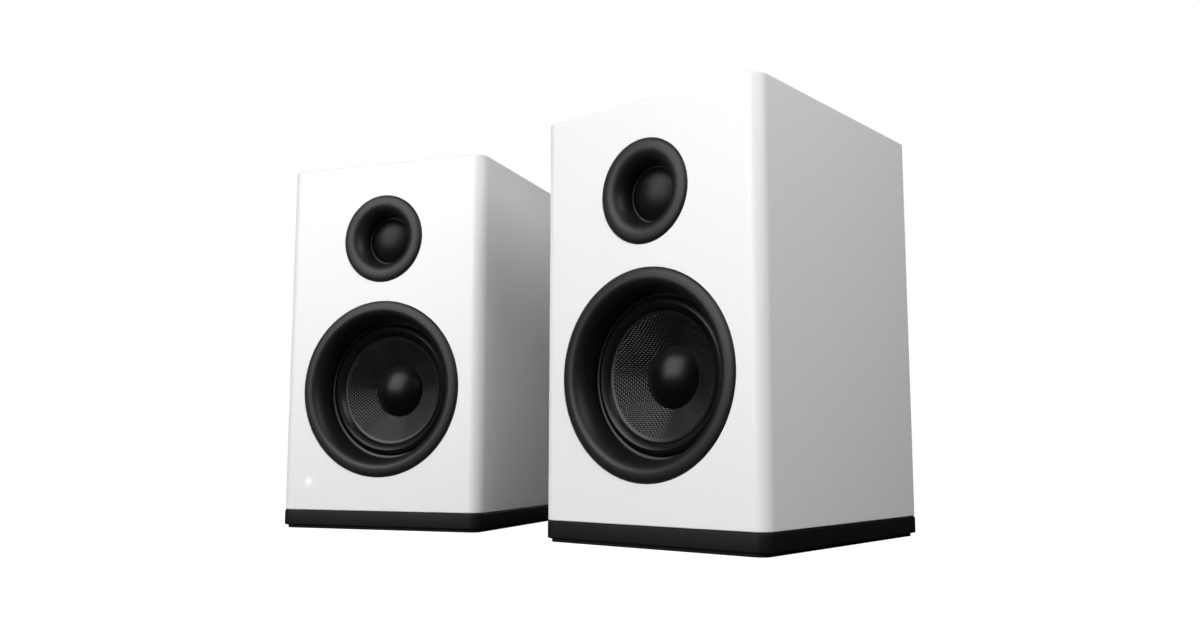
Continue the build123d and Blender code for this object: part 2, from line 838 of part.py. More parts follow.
def crossover_board():
    """Small board with the coil and capacitor that split the signal."""
    front = PLATE_Y - 18.4 - 1.6
    width = PASSIVE_W - 2 * AMP_LEDGE - 1
    half = PASSIVE_H / 2 - AMP_LEDGE - 0.5
    with BuildPart() as board:
        circuit_board(width, PASSIVE_Z - half, PASSIVE_Z + half, front + 1.6)
        disc_at(-14, PASSIVE_Z, front, 11, 12)
        disc_at(9, PASSIVE_Z + 7, front, 5.5, 16)
        with Locations((18, front - 4, PASSIVE_Z - 9)):
            Box(18, 8, 7)
    return board.part


def round_socket(x, z, neck_r, nut_r, barrel_r, hole_r, barrel_l, body):
    """Threaded socket: body behind the plate, nut and barrel outside it."""
    width, height, front = body
    nut_y = DEPTH + 1.6
    with Locations((x, (front + PLATE_Y) / 2, z)):
        Box(width, PLATE_Y - front, height)
    disc_at(x, z, nut_y, neck_r, BOARD_INSET + 1.6)
    with BuildSketch(back_plane(nut_y)) as nut:
        with Locations((x, z)):
            RegularPolygon(nut_r, 6)
    extrude(nut.sketch, amount=1.6)
    disc_at(x, z, nut_y, barrel_r, -barrel_l)
    disc_at(x, z, nut_y + barrel_l, hole_r, 13, Mode.SUBTRACT)


def rear_sockets():
    """Two phono sockets, the small stereo socket and the power socket."""
    on_board = PLATE_Y - 14.4
    with BuildPart() as sockets:
        for x, z in RCA_AT:
            round_socket(x, z, 4.1, 6.2, 4.15, 1.6, 8.0, (11, 12, on_board))
        round_socket(*JACK_AT, 2.9, 4.6, 3.6, 1.8, 0.8, (9, 11, on_board))
        round_socket(*DC_AT, 4.1, 6.6, 4.9, 2.75, 0.8, (11, 11, PLATE_Y - 16))
        disc_at(*DC_AT, DEPTH + 1.6, 1.0, 13)
    return sockets.part


def volume_knob():
    """Ribbed knob and the shaft it is pressed on."""
    near = DEPTH + 1.2
    with BuildPart() as knob:
        with BuildSketch(back_plane(near)):
            Circle(KNOB_R)
        extrude(amount=-KNOB_L)
        chamfer(knob.edges().group_by(Axis.Y)[-1], length=1)
        with BuildSketch(back_plane(near)):
            with PolarLocations(KNOB_R + 0.35, 30):
                Circle(0.8)
        extrude(amount=-(KNOB_L - 2), mode=Mode.SUBTRACT)
        with BuildSketch(back_plane(near + KNOB_L)):
            with Locations((0, KNOB_R * 0.6)):
                Rectangle(1.2, KNOB_R * 0.5)
        extrude(amount=0.6, mode=Mode.SUBTRACT)
        with BuildSketch(back_plane(near)):
            Circle(SHAFT_R)
        extrude(amount=-(KNOB_L - 3), mode=Mode.SUBTRACT)
    with BuildPart() as shaft:
        with BuildSketch(back_plane(near + KNOB_L - 3)):
            Circle(SHAFT_R)
        extrude(amount=KNOB_L - 3 + near - (PLATE_Y - 10))
    return Pos(KNOB_AT[0], 0, KNOB_AT[1]) * Compound([knob.part, shaft.part])


def switch_housing():
    """Snap-in frame with the recess the rocker tilts in."""
    with BuildPart() as frame:
        with BuildSketch(back_plane(DEPTH + 1.6)):
            RectangleRounded(17, 25, 1.5)
        extrude(amount=1.6)
        with BuildSketch(back_plane(DEPTH)):
            Rectangle(14, 22)
        extrude(amount=14)
        with BuildSketch(back_plane(DEPTH + 1.6)):
            Rectangle(11, 20)
        extrude(amount=11.6, mode=Mode.SUBTRACT)
        with Locations((0, DEPTH - 2, 0)):
            Cylinder(
                PIVOT_R + PIVOT_FIT, 12.4, rotation=(0, 90, 0), mode=Mode.SUBTRACT
            )
    return Pos(SWITCH_AT[0], 0, SWITCH_AT[1]) * frame.part


def power_rocker():
    """Concave rocker on a pin, pressed at its top."""
    with BuildPart() as rocker:
        with BuildSketch(Plane.YZ.offset(-5.2)):
            with BuildLine():
                Polyline(
                    (-4, -6.5),
                    (4.4, -8.9),
                    (3.0, 0),
                    (4.4, 8.9),
                    (-4, 6.5),
                    close=True,
                )
            make_face()
        extrude(amount=10.4)
        fillet(rocker.edges().filter_by(Axis.X).group_by(Axis.Y)[-1], radius=0.6)
        Cylinder(PIVOT_R, 12, rotation=(0, 90, 0))
    at = Pos(SWITCH_AT[0], DEPTH - 2, SWITCH_AT[1])
    return at * Rot(ROCKER_TILT, 0, 0) * rocker.part


def terminal_block():
    """Housing with two lever bays above two cable holes."""
    with BuildPart() as block:
        with BuildSketch(back_plane(DEPTH + 6)):
            RectangleRounded(TERMINAL_W, TERMINAL_H, 1.5)
        extrude(amount=6)
        with BuildSketch(back_plane(DEPTH)):
            Rectangle(TERMINAL_W - 4, TERMINAL_H - 3)
        extrude(amount=13)
        with BuildSketch(back_plane(DEPTH + 6)):
            with Locations((-8, 3), (8, 3)):
                Rectangle(10.4, 10.4)
        extrude(amount=11, mode=Mode.SUBTRACT)
        with BuildSketch(back_plane(DEPTH + 6)):
            with Locations((-8, -6), (8, -6)):
                Circle(1.6)
        extrude(amount=12, mode=Mode.SUBTRACT)
        with Locations((-8, DEPTH, 0), (8, DEPTH, 0)):
            Cylinder(
                PIVOT_R + PIVOT_FIT, 12, rotation=(0, 90, 0), mode=Mode.SUBTRACT
            )
    return block.part


def terminal_lever():
    """Tab on a pin, leaning out of its bay until it is pressed."""
    with BuildPart() as lever:
        with BuildSketch(Plane.YZ.offset(-4.8)):
            with BuildLine():
                Polyline(
                    (0, -1.6),
                    (1.6, 0),
                    (1.6, 3.2),
                    (8.4, 5.4),
                    (8.4, 7.4),
                    (-1.6, 7.4),
                    (-1.6, 0),
                    close=True,
                )
            make_face()
        extrude(amount=9.6)
        fillet(lever.edges().filter_by(Axis.X).group_by(Axis.Y)[-1], radius=0.7)
        Cylinder(PIVOT_R, 11.4, rotation=(0, 90, 0))
    return Pos(0, DEPTH, 0) * Rot(-LEVER_REST, 0, 0) * lever.part


def status_led():
    """Light guide that ends in a round lens in the front panel."""
    with BuildPart() as light:
        with BuildSketch(back_plane(-0.3)):
            Circle(LED_R)
        extrude(amount=-(BAFFLE + 0.3))
        fillet(light.edges().group_by(Axis.Y)[0], radius=0.5)
        with BuildSketch(back_plane(BAFFLE)):
            Circle(LED_R + 1)
        extrude(amount=-3)
    return Pos(LED_X, 0, LED_Z) * light.part


# ---- assembly ----------------------------------------------------------------

WOOFER = Pos(0, 0, WOOFER_Z)
TWEETER = Pos(0, 0, TWEETER_Z)
AMP_OPENING = (AMP_W - 2 * AMP_LEDGE, AMP_H - 2 * AMP_LEDGE)
PASSIVE_OPENING = (PASSIVE_W - 2 * AMP_LEDGE, PASSIVE_H - 2 * AMP_LEDGE)
AMP_TERMINAL = Pos(TERMINAL_AT[0], 0, TERMINAL_AT[1])
PASSIVE_TERMINAL = Pos(0, 0, PASSIVE_Z)

both = {
    "base": base(),
    "foot_pad": foot_pad(),
    "port_tube": Pos(0, 0, PORT_Z) * port_tube(),
    "woofer_trim": WOOFER * woofer_trim(),
    "woofer_basket": WOOFER * woofer_basket(),
    "woofer_surround": WOOFER * woofer_surround(),
    "woofer_cone": WOOFER * woofer_cone(),
    "woofer_dust_cap": WOOFER * woofer_dust_cap(),
    "woofer_voice_coil": WOOFER * woofer_voice_coil(),
    "woofer_spider": WOOFER * woofer_spider(),
    "woofer_top_plate": WOOFER * woofer_top_plate(),
    "woofer_magnet": WOOFER * woofer_magnet(),
    "woofer_yoke": WOOFER * woofer_yoke(),
    "tweeter_trim": TWEETER * tweeter_trim(),
    "tweeter_surround": TWEETER * tweeter_surround(),
    "tweeter_dome": TWEETER * tweeter_dome(),
    "tweeter_voice_coil": TWEETER * tweeter_voice_coil(),
    "tweeter_pot": TWEETER * tweeter_pot(),
    "tweeter_magnet": TWEETER * tweeter_magnet(),
}
left = {
    "cabinet": cabinet(True),
    "back_board": back_board(*AMP_OPENING, AMP_W, AMP_H, AMP_Z),
    "screws": screws(AMP_W, AMP_H, AMP_Z),
    "amp_panel": amp_panel(),
    "amp_board": amp_board(),
    "power_board": power_board(),
    "rear_sockets": rear_sockets(),
    "volume_knob": volume_knob(),
    "switch_housing": switch_housing(),
    "power_rocker": power_rocker(),
    "status_led": status_led(),
    "terminal_block": AMP_TERMINAL * terminal_block(),
    "terminal_lever_red": AMP_TERMINAL * Pos(8, 0, 0) * terminal_lever(),
    "terminal_lever_black": AMP_TERMINAL * Pos(-8, 0, 0) * terminal_lever(),
}
right = {
    "cabinet": cabinet(False),
    "back_board": back_board(*PASSIVE_OPENING, PASSIVE_W, PASSIVE_H, PASSIVE_Z),
    "screws": screws(PASSIVE_W, PASSIVE_H, PASSIVE_Z),
    "terminal_plate": terminal_plate(),
    "crossover_board": crossover_board(),
    "terminal_block": PASSIVE_TERMINAL * terminal_block(),
    "terminal_lever_red": PASSIVE_TERMINAL * Pos(8, 0, 0) * terminal_lever(),
    "terminal_lever_black": PASSIVE_TERMINAL * Pos(-8, 0, 0) * terminal_lever(),
}

placed = {}
for side, own, at, yaw in (
    ("left", left, LEFT_AT, LEFT_YAW),
    ("right", right, RIGHT_AT, RIGHT_YAW),
):
    stand = Pos(at[0], at[1], 0) * Rot(0, 0, yaw)
    for name, piece in {**both, **own}.items():
        placed[f"{side}_{name}"] = stand * piece

# The pair stands on the desk with the middle of its outline at the origin.
boxes = [piece.bounding_box() for piece in placed.values()]
mid_x = (min(b.min.X for b in boxes) + max(b.max.X for b in boxes)) / 2
mid_y = (min(b.min.Y for b in boxes) + max(b.max.Y for b in boxes)) / 2
for name, piece in placed.items():
    final = Pos(-mid_x, -mid_y, 0) * piece
    final.label = name
    export_step(final, f"parts/{name}.step")
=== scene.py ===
import json
from math import cos, pi, radians, sin

import bmesh
import bpy
import numpy as np
from mathutils import Matrix, Vector


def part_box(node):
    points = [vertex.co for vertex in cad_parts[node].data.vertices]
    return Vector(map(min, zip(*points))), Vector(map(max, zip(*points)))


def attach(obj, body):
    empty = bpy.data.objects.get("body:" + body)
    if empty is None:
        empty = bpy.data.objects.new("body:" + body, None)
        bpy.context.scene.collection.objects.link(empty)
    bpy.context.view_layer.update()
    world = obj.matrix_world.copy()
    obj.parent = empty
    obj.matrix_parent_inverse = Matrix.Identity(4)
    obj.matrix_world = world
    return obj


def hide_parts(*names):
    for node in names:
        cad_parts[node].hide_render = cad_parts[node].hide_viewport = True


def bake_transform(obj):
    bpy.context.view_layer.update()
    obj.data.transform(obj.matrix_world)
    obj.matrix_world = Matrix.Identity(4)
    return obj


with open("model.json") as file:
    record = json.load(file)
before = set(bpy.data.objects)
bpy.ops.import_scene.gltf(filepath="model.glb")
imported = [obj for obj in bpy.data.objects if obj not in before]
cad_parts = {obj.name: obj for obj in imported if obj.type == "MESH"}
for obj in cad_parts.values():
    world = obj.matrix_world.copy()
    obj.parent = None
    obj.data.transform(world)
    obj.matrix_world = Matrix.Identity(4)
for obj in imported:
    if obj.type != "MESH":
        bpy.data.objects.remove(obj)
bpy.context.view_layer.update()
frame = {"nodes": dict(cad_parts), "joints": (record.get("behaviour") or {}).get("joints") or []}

# ---- Camera, floor and light -------------------------------------------------
# The camera stands low, to the right of the pair, and looks slightly up.
# The room is a white sweep: a pale floor, a bright surround and soft panels.

scene = bpy.context.scene
scene.view_settings.view_transform = "Standard"

camera_lens = bpy.data.cameras.new("camera")
camera_lens.lens = 31.12
camera_lens.shift_x = -0.0082
camera_lens.shift_y = 0.0095
camera_lens.clip_start = 0.01
camera = bpy.data.objects.new("camera", camera_lens)
camera.location = (0.33845, -0.55275, 0.0488)
camera.rotation_euler = (radians(96.73), 0, radians(29.62))
scene.collection.objects.link(camera)
scene.camera = camera


def linear(hex_colour):
    """sRGB hex to the linear colour a shader works in."""
    parts = [int(hex_colour[i : i + 2], 16) / 255 for i in (0, 2, 4)]
    straight = [c / 12.92 if c < 0.04045 else ((c + 0.055) / 1.055) ** 2.4 for c in parts]
    return (*straight, 1)


def finish(name, colour, roughness, metallic=0.0, gloss=0.5):
    """A material with one shader; what else it has is set by the piece's section."""
    made = bpy.data.materials.new(name)
    made.use_nodes = True
    shader = made.node_tree.nodes["Principled BSDF"]
    shader.inputs["Base Color"].default_value = linear(colour)
    shader.inputs["Roughness"].default_value = roughness
    shader.inputs["Metallic"].default_value = metallic
    shader.inputs["Specular IOR Level"].default_value = gloss
    return made


def add_node(made, kind, settings=None, **links):
    """A node with its settings, and links or values for its inputs.

    An input is given by its name with _ for a space, or as _ and its number.
    """
    node = made.node_tree.nodes.new(kind)
    for key, value in (settings or {}).items():
        setattr(node, key, value)
    for key, value in links.items():
        number = key[1:]
        socket = node.inputs[int(number) if number.isdigit() else key.replace("_", " ")]
        if isinstance(value, bpy.types.NodeSocket):
            made.node_tree.links.new(value, socket)
        else:
            socket.default_value = value
    return node


def wire(made, socket, name):
    """Links a node's output to one input of the material's shader."""
    shader = made.node_tree.nodes["Principled BSDF"]
    made.node_tree.links.new(socket, shader.inputs[name])


# Matt white paper: it shows no sheen, the camera sees it nearly burnt out, and
# what is glossy mirrors it dark.
sweep_white = finish("matt_white_paper", "7C7C7C", 0.9, gloss=0.0)
seen = add_node(sweep_white, "ShaderNodeLightPath")
wire(sweep_white, seen.outputs["Is Camera Ray"], "Emission Strength")
mirrored = add_node(
    sweep_white,
    "ShaderNodeMix",
    {"data_type": "RGBA"},
    _0=seen.outputs["Is Glossy Ray"],
    _6=linear("848484"),
    _7=linear("4A4A4A"),
)
wire(sweep_white, mirrored.outputs[2], "Base Color")
sweep_white.node_tree.nodes["Principled BSDF"].inputs["Emission Color"].default_value = (1, 1, 1, 1)

floor_mesh = bmesh.new()
bmesh.ops.create_grid(floor_mesh, x_segments=1, y_segments=1, size=30)
floor_data = bpy.data.meshes.new("floor")
floor_mesh.to_mesh(floor_data)
floor_mesh.free()
floor_data.materials.append(sweep_white)
floor = bpy.data.objects.new("floor", floor_data)
scene.collection.objects.link(floor)

room = bpy.data.worlds.new("room")
room.use_nodes = True
surround_light = room.node_tree.nodes["Background"]
surround_light.inputs["Color"].default_value = (1, 1, 1, 1)
sky_seen = room.node_tree.nodes.new("ShaderNodeLightPath")
sky_level = room.node_tree.nodes.new("ShaderNodeMapRange")
sky_level.inputs["To Min"].default_value = 0.025
sky_level.inputs["To Max"].default_value = 1.0
room.node_tree.links.new(sky_seen.outputs["Is Camera Ray"], sky_level.inputs["Value"])
room.node_tree.links.new(sky_level.outputs["Result"], surround_light.inputs["Strength"])
scene.world = room


def panel_light(name, at, aim, width, height, power, lit=True, sheen=True):
    """Soft rectangular light that faces a point, and may only light or only shine."""
    data = bpy.data.lights.new(name, "AREA")
    data.shape = "RECTANGLE"
    data.size = width
    data.size_y = height
    data.energy = power
    light = bpy.data.objects.new(name, data)
    light.location = at
    light.rotation_euler = (Vector(aim) - Vector(at)).to_track_quat("-Z", "Y").to_euler()
    light.visible_camera = False
    light.visible_diffuse = lit
    light.visible_glossy = sheen
    scene.collection.objects.link(light)
    return light


# Where each panel stands, what it faces, how wide and high it is, and its watts.
panel_light("front_panel", (-0.42, -1.18, 0.74), (0, -0.08, 0.12), 2.4, 1.5, 26, sheen=False)
panel_light("front_sheen", (-0.38, -1.18, 0.72), (0, -0.08, 0.12), 1.2, 1.25, 20, lit=False)
panel_light("right_panel", (0.64, -0.26, 0.60), (0.12, -0.05, 0.16), 0.5, 0.5, 2.9)
panel_light("rear_panel", (-0.05, 1.30, 0.90), (0, 0.1, 0.1), 1.0, 0.9, 3.5)

# ---- Cabinets ----------------------------------------------------------------
# Fibreboard boxes, routed round at the upright front corners and sprayed satin
# white. The front is bored for both drivers, and on the left for the light.

width, depth, height = 137.5, 160.0, 227.0
plinth_top = 11.3
board_thickness, baffle_thickness = 10, 12
front_corner_r, edge_r, foot_r = 7.4, 1.0, 0.6
woofer_z, tweeter_z = 85.6, 179.0
light_x, light_z = -48.9, 28.75
light_hole_r = 1.35
recess_depth = 3
woofer_recess_r, woofer_hole_r = 54.1, 50.6
tweeter_recess_r, tweeter_hole_r = 27.5, 23.0
magnet_back = 0.0475  # how far the woofer magnet's middle is behind the front, in metres

# The two boxes are alike and toed in. A speaker's own frame has X across,
# Y from its front to its back and Z up from the desk, all in millimetres.
stands = {}
for side in ("left", "right"):
    travel = next(j for j in frame["joints"] if j["name"] == f"{side}_woofer_travel")
    back = -Vector(travel["axis"]).normalized()
    across = Vector((back.y, -back.x, 0))
    magnet_low, magnet_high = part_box(f"{side}_woofer_magnet")
    foot = (magnet_low + magnet_high) / 2 - back * magnet_back
    foot.z = 0
    turn = Matrix((across, back, (0, 0, 1))).transposed().to_4x4()
    stands[side] = Matrix.Translation(foot) @ turn @ Matrix.Scale(0.001, 4)


def own_place(made, side):
    """Where a point is in a speaker's own frame, for a pattern that follows its shape."""
    where = add_node(made, "ShaderNodeTexCoord")
    mapped = add_node(
        made,
        "ShaderNodeMapping",
        {"vector_type": "TEXTURE"},
        Vector=where.outputs["Object"],
        Location=stands[side].to_translation(),
        Rotation=stands[side].to_3x3().normalized().to_euler(),
        Scale=(0.001, 0.001, 0.001),
    )
    return mapped.outputs[0]


def fine_texture(made, size_mm, strength, depth_mm, uneven=0.03):
    """Fine relief and slightly uneven gloss, as a mould, a spray or a mill leaves them."""
    place = add_node(made, "ShaderNodeTexCoord")
    noise = add_node(
        made, "ShaderNodeTexNoise", Vector=place.outputs["Object"], Scale=1000 / size_mm, Detail=2.0
    )
    relief = add_node(
        made, "ShaderNodeBump", Height=noise.outputs[0], Strength=strength, Distance=depth_mm / 1000
    )
    wire(made, relief.outputs[0], "Normal")
    rough = made.node_tree.nodes["Principled BSDF"].inputs["Roughness"].default_value
    spread = add_node(
        made,
        "ShaderNodeMapRange",
        Value=noise.outputs[0],
        From_Min=0.3,
        From_Max=0.7,
        To_Min=rough - uneven,
        To_Max=rough + uneven,
    )
    wire(made, spread.outputs[0], "Roughness")


# Sprayed lacquer, flatted once: an even satin white with a faint orange peel that
# breaks the sheen. Round the status light a painted glow, emission in the paint itself, stands in
# for its light's spill.
white_paint = finish("satin_white_lacquer", "F4F4F4", 0.42)
fine_texture(white_paint, 1.6, 0.05, 0.02)
light_at = stands["left"] @ Vector((light_x, 0, light_z))
paint_place = add_node(white_paint, "ShaderNodeTexCoord")
from_light = add_node(
    white_paint,
    "ShaderNodeVectorMath",
    {"operation": "DISTANCE"},
    _0=paint_place.outputs["Object"],
    _1=light_at,
)
# Painted glow: the paint emits light near the status light, fading out 4.5 mm away.
painted_led_glow = add_node(
    white_paint,
    "ShaderNodeMapRange",
    {"interpolation_type": "SMOOTHSTEP"},
    Value=from_light.outputs["Value"],
    From_Min=0.0013,
    From_Max=0.0045,
    To_Min=0.12,
    To_Max=0.0,
)
wire(white_paint, painted_led_glow.outputs[0], "Emission Strength")
white_paint.node_tree.nodes["Principled BSDF"].inputs["Emission Color"].default_value = (1, 1, 1, 1)


def shade(data, sharp_degrees):
    """Smooth shading that keeps edges sharper than an angle."""
    data.polygons.foreach_set("use_smooth", [True] * len(data.polygons))
    data.set_sharp_from_angle(angle=radians(sharp_degrees))


def put(mesh, name, side, made, body=None, stands_for=(), sharp_degrees=35):
    """Turns a bmesh drawn in a speaker's frame into a piece of the object."""
    bmesh.ops.transform(mesh, matrix=stands[side], verts=mesh.verts)
    data = bpy.data.meshes.new(name)
    mesh.to_mesh(data)
    mesh.free()
    shade(data, sharp_degrees)
    data.materials.append(made)
    piece = bpy.data.objects.new(name, data)
    scene.collection.objects.link(piece)
    if stands_for:
        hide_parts(*stands_for)
    if body:
        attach(piece, body)
    return piece


def edges_where(mesh, keep):
    return [e for e in mesh.edges if keep(*(v.co for v in e.verts))]


def soften(mesh, edges, radius, steps):
    """Rounds edges to a radius."""
    bmesh.ops.bevel(
        mesh, geom=edges, offset=radius, segments=steps, profile=0.5, affect="EDGES", material=-1
    )


def block(low, high):
    """Plain box between two corners."""
    mesh = bmesh.new()
    bmesh.ops.create_cube(mesh, size=1)
    bmesh.ops.scale(mesh, vec=[b - a for a, b in zip(low, high)], verts=mesh.verts)
    bmesh.ops.translate(mesh, vec=[(a + b) / 2 for a, b in zip(low, high)], verts=mesh.verts)
    return mesh


def rounded_box(low, high, front_r, edge_r, foot_r):
    """Box whose upright front corners have one radius and its other edges another."""
    mesh = block(low, high)
    upright = edges_where(mesh, lambda a, b: abs(a.z - b.z) > 1)
    front = [e for e in upright if e.verts[0].co.y < (low[1] + high[1]) / 2]
    soften(mesh, front, front_r, 14)
    soften(mesh, [e for e in upright if e.is_valid and e not in front], edge_r, 4)
    soften(mesh, edges_where(mesh, lambda a, b: min(a.z, b.z) > high[2] - 0.01), edge_r, 4)
    soften(mesh, edges_where(mesh, lambda a, b: max(a.z, b.z) < low[2] + 0.01), foot_r, 3)
    return mesh


round_steps = 144  # sides of what is round


def rod(x, z, radius, near, far, steps=round_steps):
    """Round bar that runs from front to back."""
    mesh = bmesh.new()
    bmesh.ops.create_cone(
        mesh, cap_ends=True, segments=steps, radius1=radius, radius2=radius, depth=far - near
    )
    bmesh.ops.rotate(mesh, cent=(0, 0, 0), matrix=Matrix.Rotation(pi / 2, 3, "X"), verts=mesh.verts)
    bmesh.ops.translate(mesh, vec=(x, (near + far) / 2, z), verts=mesh.verts)
    return mesh


def cut(piece, tools, side):
    """Takes tools away from a piece and keeps the result as its mesh."""
    for tool in tools:
        data = bpy.data.meshes.new("tool")
        bmesh.ops.transform(tool, matrix=stands[side], verts=tool.verts)
        tool.to_mesh(data)
        tool.free()
        cutter = bpy.data.objects.new("tool", data)
        scene.collection.objects.link(cutter)
        bite = piece.modifiers.new("bite", "BOOLEAN")
        bite.object = cutter
        bite.solver = "EXACT"
        ready = piece.evaluated_get(bpy.context.evaluated_depsgraph_get())
        shaped = bpy.data.meshes.new_from_object(ready)
        piece.modifiers.clear()
        piece.data = shaped
        bpy.data.objects.remove(cutter)


for side in ("left", "right"):
    low, high = (-width / 2, 0, plinth_top), (width / 2, depth, height)
    box = rounded_box(low, high, front_corner_r, edge_r, foot_r)
    cabinet = put(box, f"{side}_cabinet_shell", side, white_paint, None)
    room_x = width / 2 - board_thickness
    room_z = plinth_top + board_thickness, height - board_thickness
    before, behind = -5, baffle_thickness + 8  # clear of the front board on both sides
    tools = [
        block((-room_x, baffle_thickness, room_z[0]), (room_x, depth + 12, room_z[1])),
        rod(0, woofer_z, woofer_recess_r, before, recess_depth),
        rod(0, woofer_z, woofer_hole_r, before, behind),
        rod(0, tweeter_z, tweeter_recess_r, before, recess_depth),
        rod(0, tweeter_z, tweeter_hole_r, before, behind),
    ]
    if side == "left":
        tools.append(rod(light_x, light_z, light_hole_r, before, behind, 32))
    cut(cabinet, tools, side)
    shade(cabinet.data, 25)
    flats = cabinet.modifiers.new("flats", "WEIGHTED_NORMAL")
    flats.keep_sharp = True
    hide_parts(f"{side}_cabinet")
    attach(cabinet, f"{side}_speaker")

# ---- Plinths and feet --------------------------------------------------------
# Each box sits on a matt black moulded plinth, a hair wider than the box, and
# that on a thin black rubber foam pad set in from its edge.

# Spark-eroded ABS: a fine sand-like grain that kills the gloss.
plinth_black = finish("moulded_abs_matt_black", "0C0C0D", 0.6, gloss=0.24)
fine_texture(plinth_black, 0.5, 0.12, 0.03)
# Cut foam rubber: open cells that swallow the light.
foam_black = finish("cellular_rubber_black", "0E0E0F", 0.85)
fine_texture(foam_black, 0.8, 0.4, 0.08)

overhang, pad_height, pad_inset = 0.3, 1.9, 2

for side in ("left", "right"):
    body = f"{side}_speaker"
    low = (-width / 2 - overhang, -overhang, pad_height)
    high = (width / 2 + overhang, depth + overhang, plinth_top)
    plinth = rounded_box(low, high, front_corner_r + overhang, edge_r=1.3, foot_r=0.8)
    put(plinth, f"{side}_plinth", side, plinth_black, body, [f"{side}_base"])
    low = (-width / 2 + pad_inset, pad_inset, 0)
    high = (width / 2 - pad_inset, depth - pad_inset, pad_height)
    pad = rounded_box(low, high, front_corner_r - pad_inset, edge_r=0.5, foot_r=0.3)
    put(pad, f"{side}_foam_pad", side, foam_black, body, [f"{side}_foot_pad"])

# ---- Driver trims ------------------------------------------------------------
# Injection-moulded rings in satin black. A rounded bead stands just proud of the
# front, and the flare curves back from it to a thin lip at the throat.

# Moulded ABS: an even satin with a very fine grain from the mould.
trim_black = finish("moulded_abs_satin_black", "0D0D0E", 0.48, gloss=0.44)
fine_texture(trim_black, 0.6, 0.1, 0.03)


def curve(centre, reach, start, stop, steps):
    """Points of an elliptical arc as (depth, radius), both in millimetres."""
    angles = [radians(start + (stop - start) * i / steps) for i in range(steps + 1)]
    return [(centre[0] + reach[0] * cos(a), centre[1] + reach[1] * sin(a)) for a in angles]


def turned(profile, height, closed=True, steps=round_steps):
    """Shape made by turning (depth, radius) points round a driver's axis at a height."""
    mesh = bmesh.new()
    points = [mesh.verts.new((radius, depth, 0)) for depth, radius in profile]
    pairs = list(zip(points, points[1:])) + ([(points[-1], points[0])] if closed else [])
    lines = [mesh.edges.new(pair) for pair in pairs]
    bmesh.ops.spin(
        mesh,
        geom=points + lines,
        cent=(0, 0, 0),
        axis=(0, 1, 0),
        angle=2 * pi,
        steps=steps,
        use_merge=True,
    )
    bmesh.ops.remove_doubles(mesh, verts=mesh.verts, dist=0.001)
    bmesh.ops.recalc_face_normals(mesh, faces=mesh.faces)
    bmesh.ops.translate(mesh, vec=(0, 0, height), verts=mesh.verts)
    return mesh


bead_width, flange_y = 4.9, 2.9  # from crest to outer edge, and how deep the flange sits


def trim_profile(outer_r, throat_r, seat_y, skirt_r, lip):
    """Section of a ring: swelling edge, crest, flare, edged throat, and back."""
    crest_r = outer_r - bead_width
    edge_y = seat_y - lip
    swell = curve((0.3, crest_r), (1.9, bead_width), 90, 180, 20)
    flare = curve((edge_y, crest_r), (edge_y + 1.6, crest_r - throat_r), 180, 266, 44)
    edge = [
        (edge_y - 0.25, throat_r + 0.03),
        (edge_y, throat_r),
        (edge_y + 0.2, throat_r + 0.06),
        (edge_y + 0.35, throat_r + 0.2),
    ]
    rear = [
        (seat_y, throat_r + lip / 2 + 0.1),
        (seat_y, throat_r + 1.5),
        (seat_y * 0.45, skirt_r - 0.3),
        (flange_y, skirt_r - 0.3),
        (flange_y, outer_r),
    ]
    return swell + flare[1:] + edge + rear


for side in ("left", "right"):
    # Outer radius, throat radius, depth of the seat, skirt radius and lip.
    for driver, size, z in (
        ("woofer", (53.9, 42.3, 13.4, woofer_hole_r, 1.6), woofer_z),
        ("tweeter", (27.3, 14.9, 9.2, tweeter_hole_r, 0.8), tweeter_z),
    ):
        put(
            turned(trim_profile(*size), z),
            f"{side}_{driver}_flare",
            side,
            trim_black,
            f"{side}_speaker",
            [f"{side}_{driver}_trim"],
        )

# ---- Woofer surrounds --------------------------------------------------------
# Half rolls of moulded butyl rubber, glued to the cone's rim inside and to the
# basket outside. The inner edge travels with the cone while the outer stays.

# Moulded butyl rubber: close to black, with a soft low sheen on the roll's crest.
soft_rubber = finish("butyl_rubber_black", "0A0A0A", 0.34, gloss=0.38)
fine_texture(soft_rubber, 0.35, 0.08, 0.02)


def bend_between(piece):
    """Bakes a ring's place into its mesh."""
    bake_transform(piece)


for side in ("left", "right"):
    inner_glue = [(15.0, 31.8), (14.85, 31.85), (14.7, 32.2), (14.6, 33.0), (14.3, 33.7)]
    roll = curve((13.7, 37.6), (-3.0, 3.5), 270, 90, 28)
    outer_glue = [(13.6, 41.5), (13.4, 42.0), (13.4, 45.8), (14.0, 45.8), (14.0, 41.2)]
    underside = [(12.6, 40.2), (11.4, 37.6), (12.8, 35.0), (14.9, 33.7)]
    piece = put(
        turned(inner_glue + roll + outer_glue + underside, woofer_z),
        f"{side}_woofer_half_roll",
        side,
        soft_rubber,
        None,
        [f"{side}_woofer_surround"],
    )
    mover = f"{side}_woofer_cone_body"
    bend_between(piece)
